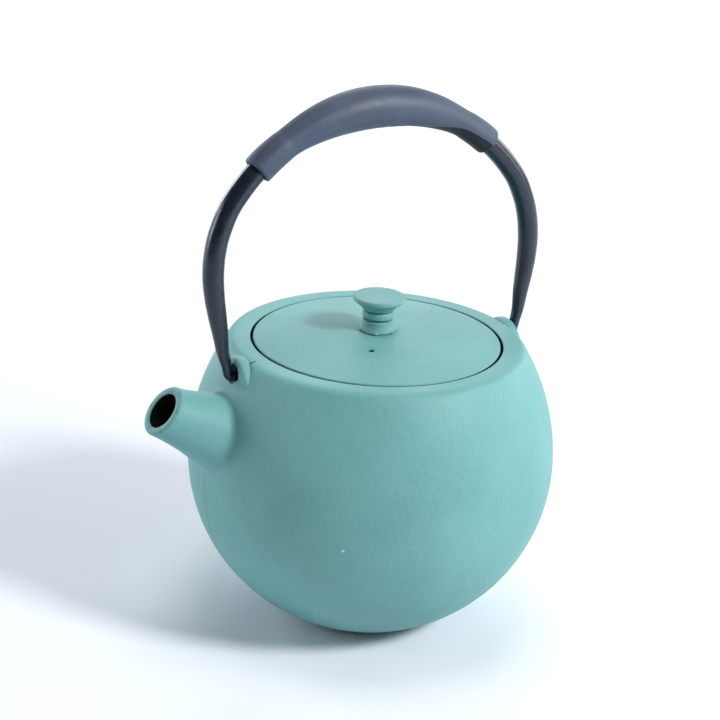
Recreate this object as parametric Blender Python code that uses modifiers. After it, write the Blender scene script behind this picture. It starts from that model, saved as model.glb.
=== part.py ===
"""Round cast-iron teapot: pot with a short spout and two lugs, drop-in lid with a knob,
swinging bail handle with a grip sleeve, and a lift-out infuser.

Metres, +Z up. The origin is the centre of the flat base, the spout points to -X and the
upright bail lies in the XZ plane.
"""

import math

import bmesh
import bpy
from mathutils import Matrix, Vector

# Driving dimensions
POT_RADIUS = 0.0725
EQUATOR_Z = 0.0656
RING_Z = EQUATOR_Z + 0.0483
WALL = 0.0036
GAP = 0.0003

# Pot form: how deep the lower half reaches, how high and how full the upper half is
LOWER_DEPTH = 0.984
UPPER_REACH = 1.11
FULLNESS = 1.945

# Mouth of the pot: recess for the lid, recess for the infuser flange, neck
LID_RECESS_RADIUS = 0.0493
LID_LEDGE_Z = RING_Z - 0.0045
RIM_RECESS_RADIUS = 0.0456
RIM_LEDGE_Z = LID_LEDGE_Z - 0.0012
NECK_RADIUS = 0.0425
NECK_BOTTOM_Z = RING_Z - 0.0119
SHOULDER_INSIDE_Z = EQUATOR_Z + 0.022

# Spout: its mouth centre, its rise above level and its radii
SPOUT_MOUTH = Vector((-0.0904, 0.0, EQUATOR_Z + 0.0323))
SPOUT_RISE = math.radians(28.0)
SPOUT_LENGTH = 0.032
SPOUT_MOUTH_RADIUS = 0.0100
SPOUT_FLARE = 0.0074
BORE_MOUTH_RADIUS = 0.0069
BORE_ROOT_RADIUS = 0.0086

# Bail pivot, lugs, and the eye and pocket that each hook turns in
PIVOT_Z = EQUATOR_Z + 0.0415
LUG_RADIUS = 0.0119
LUG_CENTRE_Z = EQUATOR_Z + 0.0371
LUG_INNER_X = 0.0575
LUG_OUTER_X = 0.0612
EYE_RADIUS = 0.0042
EYE_Z = PIVOT_Z + 0.0011
POCKET_RADIUS = 0.0052
POCKET_INNER_X = 0.0530
POCKET_OUTER_X = 0.0577

# Lid
LID_RADIUS = 0.0482
LID_EDGE_Z = RING_Z - 0.0001
LID_DOME = 0.0039
LID_THICKNESS = 0.0040
SKIRT_OUTER_RADIUS = 0.0385
SKIRT_INNER_RADIUS = 0.0360
SKIRT_BOTTOM_Z = RING_Z - 0.0096
PIN_RADIUS = 0.0024
VENT_RADIUS = 0.00115
VENT_POS = (-0.0123, -0.0174)

# Knob stack, from the lid upwards
KNOB_SEAT_Z = LID_EDGE_Z + LID_DOME + GAP
SEAT_TOP_Z = KNOB_SEAT_Z + 0.0043
COLLAR_BOTTOM_Z = SEAT_TOP_Z + 0.0007
COLLAR_TOP_Z = COLLAR_BOTTOM_Z + 0.0027
CAP_BOTTOM_Z = COLLAR_TOP_Z + 0.0006
CAP_RIM_Z = CAP_BOTTOM_Z + 0.0033
CAP_TOP_Z = CAP_RIM_Z + 0.0021
CAP_RADIUS = 0.0101
COLLAR_RADIUS = 0.0062
WASHER_RADIUS = 0.0075

# Infuser
FLANGE_RADIUS = 0.0452
RIM_THICKNESS = 0.0008
RIM_OUTER_RADIUS = 0.0419
RIM_DEPTH = 0.0055
SHEET = 0.0006
BASKET_RADIUS = RIM_OUTER_RADIUS - RIM_THICKNESS - GAP
BASKET_BOTTOM_Z = EQUATOR_Z + 0.0015
SLOT_COUNT = 16
SLOT_WIDTH = 0.0022
SLOT_LENGTH = 0.028
BASE_LIP = 0.0016

# Bail: rod centre line in its own plane, x from the middle and height above the pivot
BAIL_LEAN = math.radians(4.35)
ARCH_RADIUS = 0.0759
ARCH_TOP = 0.09755
ARCH_HALF_ANGLE = math.radians(54.0)
ROD_RADIUS = 0.00407
HOOK_BEND_RADIUS = 0.0022
HOOK_INNER_X = 0.0576
HOOK_OUTER_X = 0.0617
HOOK_TIP = (0.0554, 0.0043, 0.00135)
# One leg as (x, height, rod radius), from above the hook to the foot of the arch
LEG = [
    (0.0645, 0.0055, 0.0021),
    (0.0658, 0.0105, 0.00245),
    (0.0667, 0.0175, 0.00305),
    (0.0678, 0.0241, 0.0035),
    (0.0689, 0.0320, 0.00385),
    (0.0693, 0.0405, 0.00405),
    (0.0684, 0.0490, 0.00407),
    (0.0662, 0.0567, 0.00407),
]
# Grip sleeve: (distance from its middle, outer radius) along the arch, from one end to the middle,
# and how far its middle sits from the top of the arch
GRIP_SHIFT = -0.0015
GRIP = [
    (0.0500, 0.0057),
    (0.0475, 0.00585),
    (0.0435, 0.0058),
    (0.0385, 0.0057),
    (0.0340, 0.00595),
    (0.0275, 0.0066),
    (0.0210, 0.0072),
    (0.0145, 0.0077),
    (0.0075, 0.0080),
    (0.0, 0.00805),
]

TURNED_STEPS = 48
SMALL_STEPS = 24


def clear_scene():
    for old in list(bpy.data.objects):
        bpy.data.objects.remove(old)


def new_collection(name):
    made = bpy.data.collections.new(name)
    bpy.context.scene.collection.children.link(made)
    return made


def new_material(name, colour, roughness, metallic):
    made = bpy.data.materials.new(name)
    made.use_nodes = True
    shader = made.node_tree.nodes["Principled BSDF"]
    shader.inputs["Base Color"].default_value = (*colour, 1.0)
    shader.inputs["Roughness"].default_value = roughness
    shader.inputs["Metallic"].default_value = metallic
    return made


clear_scene()
PARTS = new_collection("teapot")
CUTTERS = new_collection("teapot_cutters")
IRON = new_material("green_cast_iron", (0.23, 0.47, 0.43), 0.6, 0.0)
STEEL_ROD = new_material("black_painted_steel", (0.02, 0.025, 0.03), 0.35, 0.0)
RUBBER = new_material("slate_rubber", (0.06, 0.075, 0.11), 0.65, 0.0)
STAINLESS = new_material("stainless_sheet", (0.62, 0.62, 0.60), 0.3, 1.0)
PIN_STEEL = new_material("plain_pin_steel", (0.35, 0.34, 0.33), 0.45, 1.0)


def add_object(name, data, finish=None, parent=None, location=(0.0, 0.0, 0.0)):
    """Links a part, or with no finish a cutter, and hangs it on its parent."""
    made = bpy.data.objects.new(name, data)
    made.location = location
    if finish is None:
        CUTTERS.objects.link(made)
        made.hide_render = True
        made.display_type = "WIRE"
    else:
        PARTS.objects.link(made)
        data.materials.append(finish)
    if parent is not None:
        made.parent = parent
    return made


def add_axis(name, height):
    """An empty on a joint's axis, which its moving pieces hang on."""
    made = bpy.data.objects.new(name, None)
    made.location = (0.0, 0.0, height)
    PARTS.objects.link(made)
    return made


def turned(name, profile, finish=None, parent=None, steps=TURNED_STEPS, closed=False):
    """A solid of revolution. The (radius, height) profile runs down its outer side."""
    base = parent.location.z if parent else 0.0
    mesh = bpy.data.meshes.new(name)
    points = [(radius, 0.0, height - base) for radius, height in profile]
    edges = [(i, i + 1) for i in range(len(points) - 1)]
    if closed:
        edges.append((len(points) - 1, 0))
    mesh.from_pydata(points, edges, [])
    made = add_object(name, mesh, finish, parent)
    screw = made.modifiers.new("Screw", "SCREW")
    screw.steps = steps
    screw.render_steps = steps
    screw.use_merge_vertices = True
    screw.merge_threshold = 0.00001
    screw.use_smooth_shade = True
    return made


def as_cutter(made, name):
    """Moves a new primitive to the cutters' collection."""
    made.name = name
    for home in list(made.users_collection):
        home.objects.unlink(made)
    CUTTERS.objects.link(made)
    made.hide_render = True
    made.display_type = "WIRE"
    return made


def rod_along_x(name, radius, start_x, end_x, height, bevel=0.0):
    """A cylinder with its axis along X, between two values of X."""
    bpy.ops.mesh.primitive_cylinder_add(
        vertices=32,
        radius=radius,
        depth=abs(end_x - start_x),
        location=((start_x + end_x) / 2, 0.0, height),
        rotation=(0.0, math.pi / 2, 0.0),
    )
    made = as_cutter(bpy.context.object, name)
    if bevel:
        rounding = made.modifiers.new("Bevel", "BEVEL")
        rounding.width = bevel
        rounding.segments = 3
        rounding.limit_method = "ANGLE"
    return made


def combine(target, other, operation):
    boolean = target.modifiers.new(f"{operation.title()} {other.name}", "BOOLEAN")
    boolean.operation = operation
    boolean.object = other


def outer_radius(height):
    """Outside radius of the pot at a height above the base."""
    level = (height - EQUATOR_Z) / POT_RADIUS
    if level < 0.0:
        return POT_RADIUS * math.sqrt(1.0 - (level / LOWER_DEPTH) ** 2)
    return POT_RADIUS * (1.0 - (level / UPPER_REACH) ** FULLNESS) ** (1.0 / FULLNESS)


def quarter_round(start, corner, end, count):
    """Points of a soft edge that leaves start and meets end, tangent to the corner."""
    points = []
    for i in range(count + 1):
        t = i / count
        near = (1 - t) ** 2
        middle = 2 * t * (1 - t)
        far = t * t
        points.append(tuple(near * a + middle * b + far * c for a, b, c in zip(start, corner, end)))
    return points


def pot_outline():
    """Outside of the pot, from the ring round the lid down to the flat base."""
    edge_z = RING_Z - 0.0024
    corner = (outer_radius(RING_Z), RING_Z)
    points = [(0.0, RING_Z)]
    points += quarter_round((corner[0] - 0.002, RING_Z), corner, (outer_radius(edge_z), edge_z), 3)
    top_angle = math.asin((edge_z - EQUATOR_Z) / (UPPER_REACH * POT_RADIUS))
    for i in range(1, 7):
        points.append(height_point(top_angle * (1 - i / 6), UPPER_REACH))
    base_angle = math.asin(EQUATOR_Z / (LOWER_DEPTH * POT_RADIUS))
    for i in range(1, 9):
        points.append(height_point(-base_angle * i / 8, LOWER_DEPTH))
    points.append((0.0, 0.0))
    return points


def height_point(angle, reach):
    height = EQUATOR_Z + reach * POT_RADIUS * math.sin(angle)
    return (outer_radius(height), height)


def cavity_outline():
    """Inside of the pot: lid recess, infuser recess, neck, round shoulder, wall and floor."""
    above = RING_Z + 0.002
    points = [
        (0.0, above),
        (LID_RECESS_RADIUS, above),
        (LID_RECESS_RADIUS, LID_LEDGE_Z),
        (RIM_RECESS_RADIUS, LID_LEDGE_Z),
        (RIM_RECESS_RADIUS, RIM_LEDGE_Z),
        (NECK_RADIUS, RIM_LEDGE_Z),
    ]
    shrink = 1.0 - WALL / POT_RADIUS
    wall_top = EQUATOR_Z + (SHOULDER_INSIDE_Z - EQUATOR_Z) / shrink
    reach = outer_radius(wall_top) * shrink - NECK_RADIUS
    rise = NECK_BOTTOM_Z - SHOULDER_INSIDE_Z
    for i in range(6):
        angle = math.pi / 2 * (1 - i / 5)
        radius = NECK_RADIUS + reach * math.cos(angle)
        points.append((radius, SHOULDER_INSIDE_Z + rise * math.sin(angle)))
    base_angle = math.asin(EQUATOR_Z / (LOWER_DEPTH * POT_RADIUS))
    for i in range(9):
        radius, height = height_point(-base_angle * i / 8, LOWER_DEPTH)
        points.append((radius * shrink, EQUATOR_Z + (height - EQUATOR_Z) * shrink))
    points.append((0.0, points[-1][1]))
    return points


def spout_outline():
    """Outside of the spout along its own axis, mouth at height 0, widening to the root."""
    lip = 0.0010
    points = [(0.0, 0.0), (SPOUT_MOUTH_RADIUS - lip, 0.0), (SPOUT_MOUTH_RADIUS - lip * 0.3, -lip * 0.3)]
    for i in range(7):
        along = i / 6
        depth = lip + (SPOUT_LENGTH - lip) * along
        points.append((SPOUT_MOUTH_RADIUS + SPOUT_FLARE * along**1.5, -depth))
    points.append((0.0, -SPOUT_LENGTH))
    return points


def bore_outline():
    past = 0.002
    end = SPOUT_LENGTH + 0.006
    return [(0.0, past), (BORE_MOUTH_RADIUS, past), (BORE_ROOT_RADIUS, -end), (0.0, -end)]


def build_pot():
    pot = turned("pot_body", pot_outline(), IRON)
    spout = turned("spout_solid", spout_outline(), steps=32)
    bore = turned("spout_bore", bore_outline(), steps=24)
    for piece in (spout, bore):
        piece.location = SPOUT_MOUTH
        piece.rotation_euler = (0.0, SPOUT_RISE - math.pi / 2, 0.0)
    combine(pot, spout, "UNION")
    for side, word in ((-1, "left"), (1, "right")):
        lug = rod_along_x(
            f"lug_{word}", LUG_RADIUS, side * LUG_INNER_X, side * LUG_OUTER_X, LUG_CENTRE_Z, bevel=0.0012
        )
        combine(pot, lug, "UNION")
    combine(pot, turned("pot_cavity", cavity_outline()), "DIFFERENCE")
    combine(pot, bore, "DIFFERENCE")
    overlap = 0.001
    for side, word in ((-1, "left"), (1, "right")):
        pocket = rod_along_x(
            f"pocket_{word}", POCKET_RADIUS, side * POCKET_INNER_X, side * POCKET_OUTER_X, PIVOT_Z
        )
        eye_ends = (side * (POCKET_OUTER_X - overlap), side * (LUG_OUTER_X + 5 * overlap))
        eye = rod_along_x(f"eye_{word}", EYE_RADIUS, *eye_ends, EYE_Z)
        combine(pot, pocket, "DIFFERENCE")
        combine(pot, eye, "DIFFERENCE")


def lid_top(radius):
    return LID_EDGE_Z + LID_DOME * (1.0 - (radius / LID_RADIUS) ** 2)


def build_lid(axis):
    bore = PIN_RADIUS + GAP
    seat_z = LID_LEDGE_Z + GAP
    pad = 0.0080
    under = [SKIRT_INNER_RADIUS * k / 3 for k in (1, 2)]
    profile = [(bore, LID_EDGE_Z + LID_DOME), (pad, LID_EDGE_Z + LID_DOME)]
    profile += [(LID_RADIUS * k / 6, lid_top(LID_RADIUS * k / 6)) for k in (2, 3, 4, 5)]
    profile += quarter_round(
        (LID_RADIUS - 0.0008, lid_top(LID_RADIUS - 0.0008)),
        (LID_RADIUS, LID_EDGE_Z),
        (LID_RADIUS, LID_EDGE_Z - 0.0008),
        2,
    )
    profile += [
        (LID_RADIUS, seat_z),
        (SKIRT_OUTER_RADIUS, seat_z),
        (SKIRT_OUTER_RADIUS, SKIRT_BOTTOM_Z),
        (SKIRT_INNER_RADIUS, SKIRT_BOTTOM_Z),
        (SKIRT_INNER_RADIUS, seat_z),
    ]
    profile += [(radius, lid_top(radius) - LID_THICKNESS) for radius in reversed(under)]
    profile += [(pad, LID_EDGE_Z + LID_DOME - LID_THICKNESS), (bore, LID_EDGE_Z + LID_DOME - LID_THICKNESS)]
    lid = turned("lid", profile, IRON, axis, closed=True)
    bpy.ops.mesh.primitive_cylinder_add(
        vertices=12, radius=VENT_RADIUS, depth=0.02, location=(*VENT_POS, LID_EDGE_Z)
    )
    combine(lid, as_cutter(bpy.context.object, "vent_hole"), "DIFFERENCE")


def build_knob(lid_axis, knob_axis):
    bore = PIN_RADIUS + GAP
    seat = [
        (bore, SEAT_TOP_Z),
        (COLLAR_RADIUS - 0.0002, SEAT_TOP_Z),
        (COLLAR_RADIUS, SEAT_TOP_Z - 0.0004),
        (COLLAR_RADIUS + 0.0002, KNOB_SEAT_Z + 0.0020),
        (COLLAR_RADIUS + 0.0011, KNOB_SEAT_Z + 0.0006),
        (COLLAR_RADIUS + 0.0012, KNOB_SEAT_Z),
        (bore, KNOB_SEAT_Z),
    ]
    turned("knob_seat", seat, IRON, lid_axis, SMALL_STEPS, closed=True)
    collar = [
        (bore, COLLAR_TOP_Z),
        (COLLAR_RADIUS - 0.0004, COLLAR_TOP_Z),
        (COLLAR_RADIUS, COLLAR_TOP_Z - 0.0005),
        (COLLAR_RADIUS, COLLAR_BOTTOM_Z + 0.0005),
        (COLLAR_RADIUS - 0.0004, COLLAR_BOTTOM_Z),
        (bore, COLLAR_BOTTOM_Z),
    ]
    turned("knob_collar", collar, IRON, knob_axis, SMALL_STEPS, closed=True)
    socket_top = CAP_RIM_Z + 0.0004
    cap = [
        (0.0, CAP_TOP_Z),
        (CAP_RADIUS - 0.0006, CAP_TOP_Z),
        (CAP_RADIUS, CAP_TOP_Z - 0.0006),
        (CAP_RADIUS, CAP_RIM_Z + 0.0003),
        (CAP_RADIUS - 0.0003, CAP_RIM_Z),
        (COLLAR_RADIUS + 0.0010, CAP_BOTTOM_Z + 0.0014),
        (COLLAR_RADIUS + 0.0003, CAP_BOTTOM_Z + 0.0010),
        (COLLAR_RADIUS, CAP_BOTTOM_Z),
        (bore, CAP_BOTTOM_Z),
        (bore, socket_top),
        (0.0, socket_top),
    ]
    turned("knob_cap", cap, IRON, knob_axis, TURNED_STEPS // 4 * 3)
    washer_top = LID_EDGE_Z + LID_DOME - LID_THICKNESS - GAP
    washer_bottom = washer_top - 0.0011
    washer = [
        (bore, washer_top),
        (WASHER_RADIUS, washer_top),
        (WASHER_RADIUS, washer_bottom),
        (bore, washer_bottom),
    ]
    turned("knob_washer", washer, PIN_STEEL, lid_axis, SMALL_STEPS, closed=True)
    head_top = washer_bottom - GAP
    pin = [
        (0.0, socket_top - GAP),
        (PIN_RADIUS, socket_top - GAP),
        (PIN_RADIUS, head_top),
        (PIN_RADIUS + 0.0018, head_top),
        (PIN_RADIUS + 0.0014, head_top - 0.0010),
        (PIN_RADIUS * 0.6, head_top - 0.0016),
        (0.0, head_top - 0.0017),
    ]
    turned("knob_pin", pin, PIN_STEEL, knob_axis, SMALL_STEPS)


def bend(centre_x, centre_z, start, end, first_radius, last_radius):
    """Points on a hook bend, between two angles measured from +X in the bail's plane."""
    points = []
    for i in range(5):
        t = i / 4
        angle = start + (end - start) * t
        x = centre_x + HOOK_BEND_RADIUS * math.cos(angle)
        z = centre_z + HOOK_BEND_RADIUS * math.sin(angle)
        points.append((x, z, first_radius + (last_radius - first_radius) * t))
    return points


def arch_point(angle):
    """A point on the arch at an angle from its top."""
    return (ARCH_RADIUS * math.sin(angle), ARCH_TOP - ARCH_RADIUS * (1.0 - math.cos(angle)))


def smooth(points, pieces):
    """Points on a Catmull-Rom curve through the inner points; the end two only steer it."""
    curve = []
    for before, start, end, after in zip(points, points[1:], points[2:], points[3:]):
        for i in range(pieces):
            t = i / pieces
            curve.append(
                tuple(
                    0.5
                    * (
                        2 * b
                        + (c - a) * t
                        + (2 * a - 5 * b + 4 * c - d) * t * t
                        + (3 * b - a - 3 * c + d) * t**3
                    )
                    for a, b, c, d in zip(before, start, end, after)
                )
            )
    return curve


def arch_line(first, radius):
    """Half of the arch's centre line, in eighths of its half angle, ending at the top."""
    return [(*arch_point(ARCH_HALF_ANGLE * k / 8), radius) for k in range(first, -1, -1)]


def half_rod():
    """Half of the rod, from the tip of one hook to the top of the arch."""
    inner = bend(HOOK_INNER_X, HOOK_BEND_RADIUS, math.pi, 1.5 * math.pi, 0.0015, 0.0017)
    outer = bend(HOOK_OUTER_X, HOOK_BEND_RADIUS, -0.5 * math.pi, 0.0, 0.00175, 0.00185)
    foot = [(*arch_point(ARCH_HALF_ANGLE * k), ROD_RADIUS) for k in (1.0, 0.8)]
    leg = smooth([outer[-1]] + LEG + foot, 2)
    return [HOOK_TIP] + inner + outer + leg + arch_line(8, ROD_RADIUS)


def mirrored(half):
    """A whole line from the half that ends in the middle."""
    left = [(-x, *rest) for x, *rest in half]
    right = [(x, *rest) for x, *rest in reversed(half[:-1])]
    return left + right


def tube(name, points, finish=None, parent=None, bevel_resolution=3):
    """A rod through (x, height, radius) points with flat ends."""
    data = bpy.data.curves.new(name, "CURVE")
    data.dimensions = "3D"
    data.bevel_depth = 1.0
    data.bevel_resolution = bevel_resolution
    data.use_fill_caps = True
    spline = data.splines.new("POLY")
    spline.points.add(len(points) - 1)
    for point, (x, height, radius) in zip(spline.points, points):
        point.co = (x, 0.0, height, 1.0)
        point.radius = radius
    return add_object(name, data, finish, parent)


def as_mesh(source, name, finish, parent):
    """A mesh with welded caps, made from a curve object that it replaces."""
    bpy.context.view_layer.update()
    graph = bpy.context.evaluated_depsgraph_get()
    mesh = bpy.data.meshes.new_from_object(source.evaluated_get(graph))
    mesh.materials.clear()
    welded = bmesh.new()
    welded.from_mesh(mesh)
    bmesh.ops.remove_doubles(welded, verts=welded.verts, dist=0.000001)
    welded.to_mesh(mesh)
    welded.free()
    bpy.data.objects.remove(source)
    return add_object(name, mesh, finish, parent)


def along_arch(sizes, shift):
    """A line on the arch, from half a list of (x, radius), with its middle moved along X."""
    both = [(-x, radius) for x, radius in sizes] + list(reversed(sizes))[1:]
    return [(*arch_point(math.asin((x + shift) / ARCH_RADIUS)), radius) for x, radius in both]


def build_bail(axis):
    tube("bail_rod", mirrored(half_rod()), STEEL_ROD, axis)
    sleeve = tube("sleeve_line", along_arch(GRIP, GRIP_SHIFT), bevel_resolution=4)
    grip = as_mesh(sleeve, "grip_sleeve", RUBBER, axis)
    hole_line = tube("hole_line", mirrored(arch_line(7, ROD_RADIUS + GAP)))
    hole = as_mesh(hole_line, "sleeve_hole", None, axis)
    combine(grip, hole, "DIFFERENCE")


def build_infuser(axis):
    flange_bottom = RIM_LEDGE_Z + GAP
    flange_top = flange_bottom + RIM_THICKNESS
    rim = [
        (RIM_OUTER_RADIUS - RIM_THICKNESS, flange_top),
        (FLANGE_RADIUS, flange_top),
        (FLANGE_RADIUS, flange_bottom),
        (RIM_OUTER_RADIUS, flange_bottom),
        (RIM_OUTER_RADIUS, flange_bottom - RIM_DEPTH),
        (RIM_OUTER_RADIUS - RIM_THICKNESS, flange_bottom - RIM_DEPTH),
    ]
    turned("infuser_rim", rim, STAINLESS, axis, closed=True)
    wall_top = flange_top - RIM_THICKNESS
    wall = [
        (BASKET_RADIUS - SHEET, wall_top),
        (BASKET_RADIUS, wall_top),
        (BASKET_RADIUS, BASKET_BOTTOM_Z),
        (BASKET_RADIUS - SHEET, BASKET_BOTTOM_Z),
    ]
    basket = turned("infuser_wall", wall, STAINLESS, axis, closed=True)
    slot_centre = (wall_top - RIM_DEPTH + BASKET_BOTTOM_Z) / 2
    for k in range(SLOT_COUNT // 2):
        slot = cutter_box(f"slot_{k}", (3 * BASKET_RADIUS, SLOT_WIDTH, SLOT_LENGTH), slot_centre)
        slot.rotation_euler.z = 2 * math.pi * (k + 0.5) / SLOT_COUNT
        combine(basket, slot, "DIFFERENCE")
    base_radius = BASKET_RADIUS - SHEET - GAP
    base = [
        (0.0, BASKET_BOTTOM_Z + GAP + SHEET),
        (base_radius - SHEET, BASKET_BOTTOM_Z + GAP + SHEET),
        (base_radius - SHEET, BASKET_BOTTOM_Z + BASE_LIP),
        (base_radius, BASKET_BOTTOM_Z + BASE_LIP),
        (base_radius, BASKET_BOTTOM_Z + GAP),
        (0.0, BASKET_BOTTOM_Z + GAP),
    ]
    turned("infuser_base", base, STAINLESS, axis)


def cutter_box(name, size, height):
    bpy.ops.mesh.primitive_cube_add(size=1.0, location=(0.0, 0.0, height))
    made = bpy.context.object
    made.data.transform(Matrix.Diagonal((*size, 1.0)))
    return as_cutter(made, name)


build_pot()
lid_axis = add_axis("lid_axis", LID_LEDGE_Z)
knob_axis = add_axis("knob_axis", CAP_BOTTOM_Z)
infuser_axis = add_axis("infuser_axis", RIM_LEDGE_Z)
bail_axis = add_axis("bail_axis", PIVOT_Z)
bail_axis.rotation_euler.x = -BAIL_LEAN
build_lid(lid_axis)
build_knob(lid_axis, knob_axis)
build_bail(bail_axis)
build_infuser(infuser_axis)
for part in PARTS.objects:
    if part.type == "MESH":
        part.data.shade_smooth()
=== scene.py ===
import math

import bmesh
import bpy
import numpy as np
from mathutils import Matrix, Vector


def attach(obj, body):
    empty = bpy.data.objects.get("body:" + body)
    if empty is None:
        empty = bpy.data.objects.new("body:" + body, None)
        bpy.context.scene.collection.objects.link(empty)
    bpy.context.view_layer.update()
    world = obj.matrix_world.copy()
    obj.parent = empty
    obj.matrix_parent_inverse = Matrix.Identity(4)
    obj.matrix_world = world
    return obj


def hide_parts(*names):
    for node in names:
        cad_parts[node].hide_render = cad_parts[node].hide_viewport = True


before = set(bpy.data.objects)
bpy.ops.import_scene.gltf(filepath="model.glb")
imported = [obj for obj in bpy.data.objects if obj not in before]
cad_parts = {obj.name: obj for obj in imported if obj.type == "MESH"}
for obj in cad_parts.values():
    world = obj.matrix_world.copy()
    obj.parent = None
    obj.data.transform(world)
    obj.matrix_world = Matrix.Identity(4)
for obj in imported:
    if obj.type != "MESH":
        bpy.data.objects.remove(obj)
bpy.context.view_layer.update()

# ---------------------------------------------------------------- dimensions, metres
# The pot stands on z = 0, its spout points to -X, and the bail turns about a line along X.
POT_RADIUS = 0.0725
EQUATOR_Z = 0.0656
RING_Z = EQUATOR_Z + 0.0483
WALL = 0.0036
LOWER_DEPTH = 0.984
UPPER_REACH = 1.11
FULLNESS = 1.945
POT_SEGMENTS = 256
RING_EDGE_INNER = 0.0005
RING_EDGE_OUTER = 0.0030
FOOT_EDGE = 0.0015
LID_RECESS_RADIUS = 0.0493
LID_LEDGE_Z = RING_Z - 0.0045
RIM_RECESS_RADIUS = 0.0456
RIM_LEDGE_Z = LID_LEDGE_Z - 0.0012
NECK_RADIUS = 0.0425
NECK_BOTTOM_Z = RING_Z - 0.0119
SHOULDER_INSIDE_Z = EQUATOR_Z + 0.022

SPOUT_MOUTH = np.array((-0.0904, 0.0, EQUATOR_Z + 0.0323))
SPOUT_RISE = math.radians(28.0)
SPOUT_LENGTH = 0.032
SPOUT_MOUTH_RADIUS = 0.0100
SPOUT_FLARE = 0.0074
SPOUT_SEGMENTS = 128
LIP_ROUND = 0.0013
ROOT_SPREAD = 0.0024
ROOT_RUN_OUT = 0.0022
ROOT_OVERLAP = 0.0016
BORE_MOUTH_RADIUS = 0.0069
BORE_ROOT_RADIUS = 0.0086
MOUTH_TILT = math.radians(10.0)
MOUTH_TILT_REACH = 0.014
BORE_FLARE = 0.0007
BORE_PAST_SPOUT = 0.007

PIVOT_Z = EQUATOR_Z + 0.0415
LUG_RADIUS = 0.0117
LUG_CENTRE_Z = EQUATOR_Z + 0.0371
LUG_INNER_X = 0.0562
LUG_OUTER_X = 0.0613
LUG_INNER_EDGE = 0.0022
LUG_OUTER_EDGE = 0.0014
HOLLOW_MARGIN = 1.02
EYE_RADIUS = 0.0035
EYE_Z = PIVOT_Z + 0.0015
EYE_RIM = 0.0005
POCKET_RADIUS = 0.0052
POCKET_INNER_X = 0.0530
POCKET_OUTER_X = 0.0577
POCKET_EDGE = 0.0008

LID_RADIUS = 0.0482
LID_EDGE_Z = RING_Z - 0.0001
LID_DOME = 0.0039
LID_THICKNESS = 0.0040
SKIRT_OUTER_RADIUS = 0.0385
SKIRT_INNER_RADIUS = 0.0360
SKIRT_BOTTOM_Z = RING_Z - 0.0096
VENT_RADIUS = 0.00115
VENT_FLARE = 0.00035
VENT_POS = (-0.0123, -0.0174)

GAP = 0.0003
PIN_RADIUS = 0.0024
KNOB_SEAT_Z = LID_EDGE_Z + LID_DOME + GAP
SEAT_TOP_Z = KNOB_SEAT_Z + 0.0043
COLLAR_BOTTOM_Z = SEAT_TOP_Z + 0.0007
COLLAR_TOP_Z = COLLAR_BOTTOM_Z + 0.0027
CAP_BOTTOM_Z = COLLAR_TOP_Z + 0.0006
CAP_RIM_Z = CAP_BOTTOM_Z + 0.0033
CAP_TOP_Z = CAP_RIM_Z + 0.0021
CAP_RADIUS = 0.0101
COLLAR_RADIUS = 0.0062

BAIL_LEAN = math.radians(4.35)
ARCH_RADIUS = 0.0759
ARCH_TOP = 0.09755
ARCH_HALF_ANGLE = math.radians(54.0)
ROD_RADIUS = 0.00407
HOOK_BEND_RADIUS = 0.0022
HOOK_INNER_X = 0.0576
HOOK_OUTER_X = 0.0617
HOOK_TIP = (0.0554, 0.0043, 0.00135)
# Centre line and radius of the rod above each hook: x, height over the pivot, radius
LEG = [
    (0.0645, 0.0055, 0.0021),
    (0.0658, 0.0105, 0.00245),
    (0.0667, 0.0175, 0.00305),
    (0.0678, 0.0241, 0.0035),
    (0.0689, 0.0320, 0.00385),
    (0.0693, 0.0405, 0.00405),
    (0.0684, 0.0490, 0.00407),
    (0.0662, 0.0567, 0.00407),
]
GRIP_SHIFT = -0.0015
GRIP_CUFF = 0.0009
GRIP_SEGMENTS = 128
# Radius of the sleeve by distance along X from its middle
GRIP_SIZES = [
    (0.0, 0.00805),
    (0.0075, 0.0080),
    (0.0145, 0.0077),
    (0.0210, 0.0072),
    (0.0275, 0.0066),
    (0.0340, 0.00585),
    (0.0380, 0.00555),
    (0.0392, 0.00575),
    (0.0440, 0.00585),
    (0.0475, 0.0059),
    (0.0500, 0.0058),
]
# Half width of the sleeve's underside panel (painted shade), as an angle round the sleeve, by angle
# along the arch
PANEL_ARCH_ANGLES = (-0.05, 0.27, 0.48, 0.66)
PANEL_HALF_WIDTHS = np.radians((17.0, 32.0, 70.0, 80.0))

# ---------------------------------------------------------------- colours, 0..255 screen values
GREEN_LOW = (101, 157, 157)
GREEN_HIGH = (109, 165, 165)
GREEN_SPECK = (119, 174, 174)
GREEN_DARK = (80, 127, 127)
GREEN_SEAM = (70, 112, 114)
# Painted shade: the dark inside of the ring's nick
NICK_PAINTED_SHADE = (14, 52, 56)
CHIP_PALE = (206, 228, 228)
LIP_RUBBED = (112, 136, 146)
LIP_CHIPPED = (44, 56, 64)
GLAZE_LOW = (9, 13, 16)
GLAZE_HIGH = (17, 22, 26)
ROD_LOW = (11, 19, 29)
ROD_HIGH = (18, 27, 39)
ROD_WORN = (60, 68, 78)
BARE_LOW = (112, 118, 130)
BARE_HIGH = (158, 162, 174)
SLATE = ((43, 58, 80), (51, 67, 91), (100, 118, 142))
# Painted shade: darker copies of the slate colours, for the sleeve's underside panel where it faces
# down
SLATE_PAINTED_SHADE = ((12, 19, 26), (18, 26, 34), (42, 54, 66))

# Marks on the casting: the parting line, the ring's nick (dark with painted shade) and the belly's
# chip
SEAM_POINT = (-POT_RADIUS, 0.0, EQUATOR_Z - 0.012)
NICK_POINT = (-0.0560, -0.0046, RING_Z)
NICK_ALONG = (0.990, 0.142, 0.0)
NICK_ACROSS = (-0.142, 0.990, 0.0)
CHIP_POINT = (-0.0431, -0.0577, EQUATOR_Z - 0.0082)


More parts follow.
